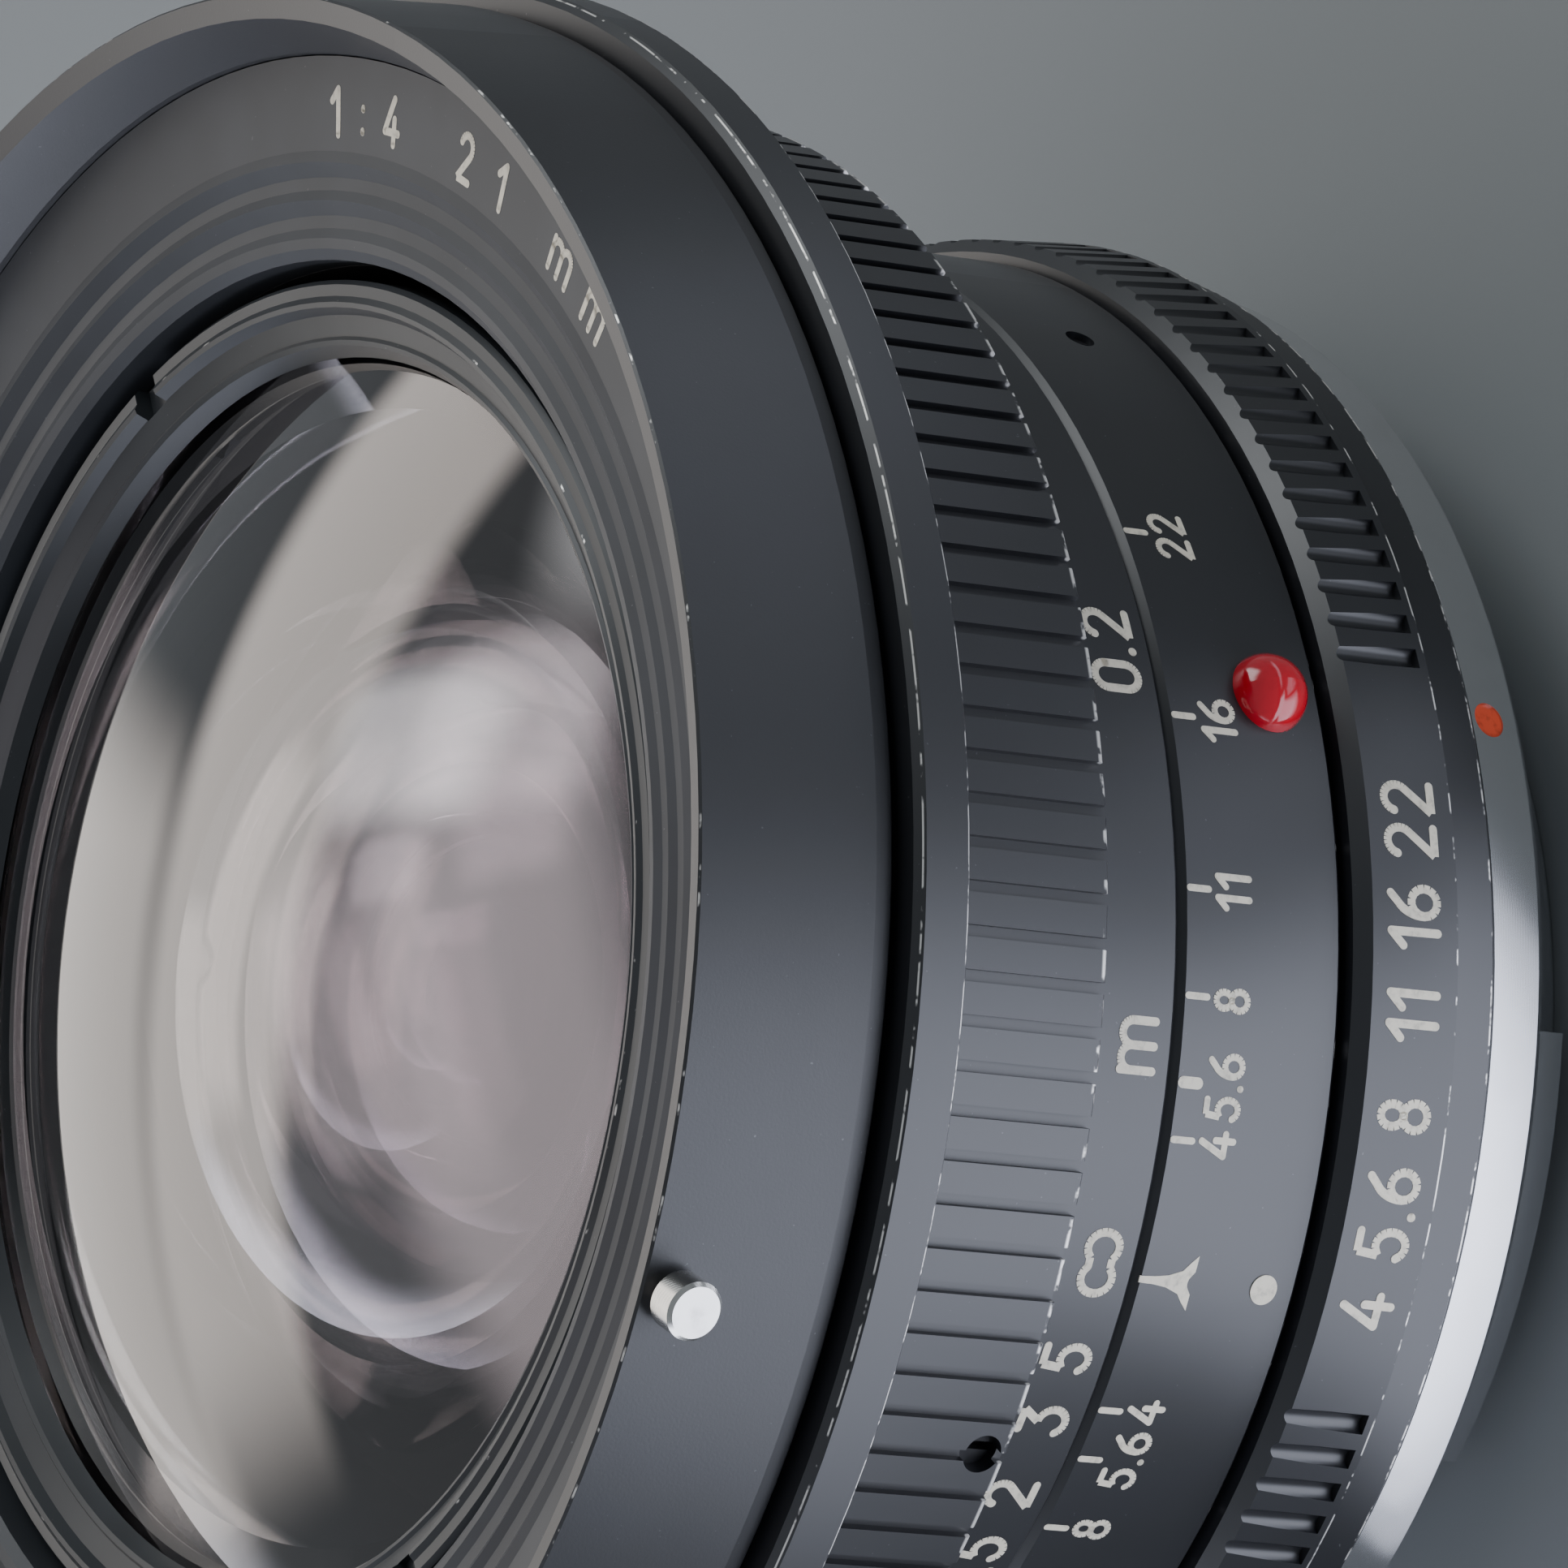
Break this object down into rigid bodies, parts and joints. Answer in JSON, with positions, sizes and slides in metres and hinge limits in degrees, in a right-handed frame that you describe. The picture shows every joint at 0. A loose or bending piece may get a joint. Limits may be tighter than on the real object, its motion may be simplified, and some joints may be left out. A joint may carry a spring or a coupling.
{
  "type": "super-wide camera lens",
  "caption": "Manual-focus super-wide lens for a reflex camera: flared front ring, ribbed focusing ring, depth-of-field scale, clicked aperture ring and chromed bayonet mount.",
  "frame": {"origin": "centre of the bayonet mount's register face, on the optical axis", "axes": "+Z along the optical axis towards the front glass, -Y towards the fixed index mark of the depth-of-field scale; the lens stands on the end of its rear spigot"},
  "size_m": [0.0782, 0.0788, 0.0491],
  "materials": {
    "black_anodised": "satin black anodised, finely blasted",
    "chrome_plate": "satin chrome plate",
    "black_paint": "matt black",
    "black_brass": "brass under black finish",
    "brass": "turned",
    "steel": "bright",
    "blackened_steel": "chemically blackened",
    "red_gloss": "gloss",
    "red_enamel": "enamel fill",
    "white_enamel": "enamel fill",
    "coated_glass": "polished, anti-reflection coated"
  },
  "bodies": {
    "fixed_barrel": {"bayonet_mount": "chrome_plate", "mount_screws": "steel", "mount_index_dot": "red_enamel", "rear_light_baffle": "black_paint", "rear_barrel": "black_anodised", "focus_keys": "steel", "click_spring": "steel", "depth_scale_ring": "black_anodised", "depth_ring_screws": "blackened_steel", "red_index_bead": "red_gloss", "aperture_index_dot": "white_enamel"},
    "aperture_set": {"aperture_ring": "black_anodised", "aperture_carrier": "black_anodised", "carrier_screw": "steel", "meter_cam": "steel", "iris_link_pin": "steel"},
    "click_ball_set": {"click_ball": "steel"},
    "stop_down_set": {"stop_down_lever": "blackened_steel"},
    "focus_set": {"focus_ring": "black_anodised", "focus_set_screws": "blackened_steel", "helicoid_sleeve": "brass"},
    "optical_unit": {"front_barrel": "black_brass", "hood_ring": "black_anodised", "hood_pins": "black_brass", "name_ring": "black_anodised", "front_retaining_ring": "black_anodised", "front_cell": "black_anodised", "middle_cell": "black_anodised", "rear_cell": "black_anodised", "rear_retaining_ring": "black_anodised", "iris_housing": "black_anodised", "glass_element_1": "coated_glass", "glass_element_2": "coated_glass", "glass_element_3": "coated_glass", "glass_element_4": "coated_glass", "glass_element_5": "coated_glass", "glass_element_6": "coated_glass", "glass_element_7": "coated_glass", "glass_element_8": "coated_glass", "glass_element_9": "coated_glass", "glass_element_10": "coated_glass"},
    "iris_drive": {"iris_drive_ring": "brass"},
    "blade_1": {"iris_blade_1": "blackened_steel"},
    "blade_2": {"iris_blade_2": "blackened_steel"},
    "blade_3": {"iris_blade_3": "blackened_steel"},
    "blade_4": {"iris_blade_4": "blackened_steel"},
    "blade_5": {"iris_blade_5": "blackened_steel"},
    "blade_6": {"iris_blade_6": "blackened_steel"}
  },
  "joints": [
    {"name": "focus_turn", "type": "hinge", "parent": "fixed_barrel", "child": "focus_set", "pos_m": [0, 0, 0.025], "axis": [0, 0, 1], "range_deg": [0, 317]},
    {"name": "optical_travel", "type": "slide", "parent": "fixed_barrel", "child": "optical_unit", "axis": [0, 0, 1], "range_m": [0, 0.00394]},
    {"name": "aperture_turn", "type": "hinge", "parent": "fixed_barrel", "child": "aperture_set", "pos_m": [0, 0, 0.0065], "axis": [0, 0, 1], "range_deg": [-34.1, 0]},
    {"name": "iris_drive_turn", "type": "hinge", "parent": "optical_unit", "child": "iris_drive", "pos_m": [0, 0, 0.0127], "axis": [0, 0, 1], "range_deg": [-34.3, 0.2]},
    {"name": "click_ball_travel", "type": "slide", "parent": "fixed_barrel", "child": "click_ball_set", "axis": [-0.866, -0.5, 0], "range_m": [0, 0.00025]},
    {"name": "stop_down_swing", "type": "hinge", "parent": "fixed_barrel", "child": "stop_down_set", "pos_m": [0, 0, 0.0038], "axis": [0, 0, 1], "range_deg": [0, 25], "stiffness_Nm_per_rad": 0.002, "springref_deg": -17.19},
    {"name": "blade_1_swing", "type": "hinge", "parent": "optical_unit", "child": "blade_1", "pos_m": [0.013, 0, 0.011], "axis": [0, 0, 1], "range_deg": [-0.1, 16.7]},
    {"name": "blade_2_swing", "type": "hinge", "parent": "optical_unit", "child": "blade_2", "pos_m": [0.0065, 0.01126, 0.011], "axis": [0, 0, 1], "range_deg": [-0.1, 16.7]},
    {"name": "blade_3_swing", "type": "hinge", "parent": "optical_unit", "child": "blade_3", "pos_m": [-0.0065, 0.01126, 0.011], "axis": [0, 0, 1], "range_deg": [-0.1, 16.7]},
    {"name": "blade_4_swing", "type": "hinge", "parent": "optical_unit", "child": "blade_4", "pos_m": [-0.013, 0, 0.011], "axis": [0, 0, 1], "range_deg": [-0.1, 16.7]},
    {"name": "blade_5_swing", "type": "hinge", "parent": "optical_unit", "child": "blade_5", "pos_m": [-0.0065, -0.01126, 0.011], "axis": [0, 0, 1], "range_deg": [-0.1, 16.7]},
    {"name": "blade_6_swing", "type": "hinge", "parent": "optical_unit", "child": "blade_6", "pos_m": [0.0065, -0.01126, 0.011], "axis": [0, 0, 1], "range_deg": [-0.1, 16.7]}
  ],
  "couplings": [
    {"joint": "optical_travel", "follows": "focus_turn", "m_per_rad": 0.00070983},
    {"joint": "iris_drive_turn", "follows": "aperture_turn", "ratio": 1},
    {"joint": "blade_1_swing", "follows": "aperture_turn", "ratio": -0.4868},
    {"joint": "blade_2_swing", "follows": "aperture_turn", "ratio": -0.4868},
    {"joint": "blade_3_swing", "follows": "aperture_turn", "ratio": -0.4868},
    {"joint": "blade_4_swing", "follows": "aperture_turn", "ratio": -0.4868},
    {"joint": "blade_5_swing", "follows": "aperture_turn", "ratio": -0.4868},
    {"joint": "blade_6_swing", "follows": "aperture_turn", "ratio": -0.4868}
  ]
}
